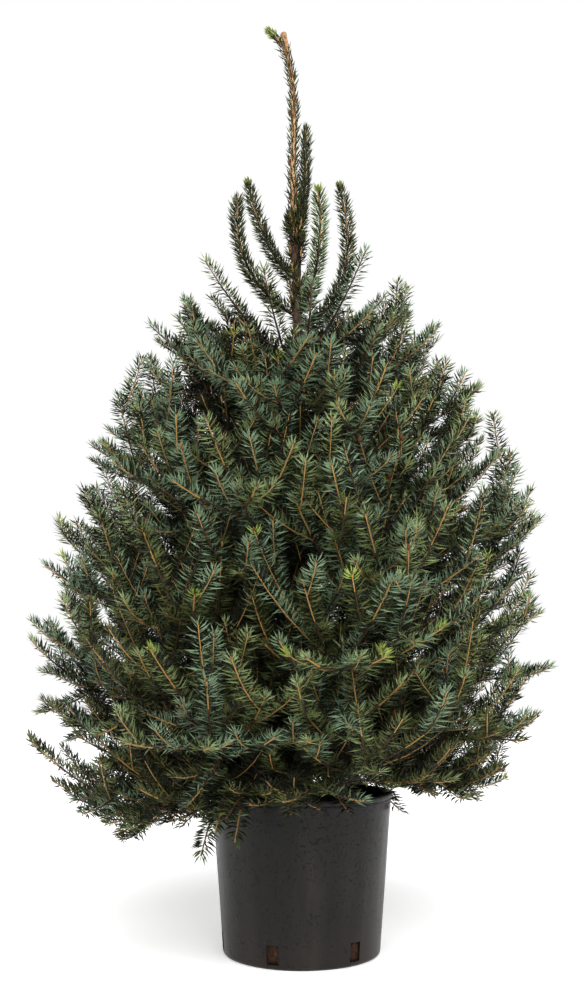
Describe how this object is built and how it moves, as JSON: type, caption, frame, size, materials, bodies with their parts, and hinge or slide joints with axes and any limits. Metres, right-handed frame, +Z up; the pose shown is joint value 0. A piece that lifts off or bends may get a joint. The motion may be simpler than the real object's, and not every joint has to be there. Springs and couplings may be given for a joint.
{
  "type": "potted serbian spruce",
  "caption": "Young Serbian spruce with a dense cone of upswept needled boughs and a long bare-tipped leader, growing in a round black nursery pot filled with potting soil",
  "frame": {"origin": "Centre of the pot's flat underside, on the ground.", "axes": "+Z is up along the plant. The viewer of the picture stands on the -Y side, and +X is the viewer's right."},
  "size_m": [0.8818, 0.8886, 1.6193],
  "materials": {
    "pot_plastic": "satin black moulded polypropylene, slightly scuffed and dusty",
    "potting_soil": "moist dark potting mix of bark and peat, matt",
    "bark": "grey-brown scaly spruce bark, matt",
    "needles": "dark green spruce needles with blue-grey undersides, satin"
  },
  "bodies": {
    "root": {"bough_1_1": "bark", "bough_1_2": "bark", "bough_1_3": "bark", "bough_1_4": "bark", "bough_2_1": "bark", "bough_2_2": "bark", "bough_2_3": "bark", "bough_2_4": "bark", "bough_3_1": "bark", "bough_3_2": "bark", "bough_3_3": "bark", "bough_3_4": "bark", "bough_drooping": "bark", "foliage_1_1": "needles", "foliage_1_2": "needles", "foliage_1_3": "needles", "foliage_1_4": "needles", "foliage_2_1": "needles", "foliage_2_2": "needles", "foliage_2_3": "needles", "foliage_2_4": "needles", "foliage_3_1": "needles", "foliage_3_2": "needles", "foliage_3_3": "needles", "foliage_3_4": "needles", "foliage_4_1": "needles", "foliage_4_2": "needles", "foliage_4_3": "needles", "foliage_4_4": "needles", "foliage_5_1": "needles", "foliage_5_2": "needles", "foliage_5_3": "needles", "foliage_5_4": "needles", "foliage_6_1": "needles", "foliage_6_2": "needles", "foliage_6_3": "needles", "foliage_6_4": "needles", "foliage_7_1": "needles", "foliage_7_2": "needles", "foliage_7_3": "needles", "foliage_7_4": "needles", "foliage_8_1": "needles", "foliage_8_2": "needles", "foliage_8_3": "needles", "foliage_8_4": "needles", "foliage_9_1": "needles", "foliage_9_2": "needles", "foliage_9_3": "needles", "foliage_9_4": "needles", "foliage_beside_leader": "needles", "foliage_drooping": "needles", "foliage_leader_tip": "needles", "foliage_left_inner": "needles", "foliage_left_outer": "needles", "foliage_right_inner": "needles", "foliage_right_outer": "needles", "pot": "pot_plastic", "potting_soil": "potting_soil", "trunk": "bark"}
  },
  "joints": []
}
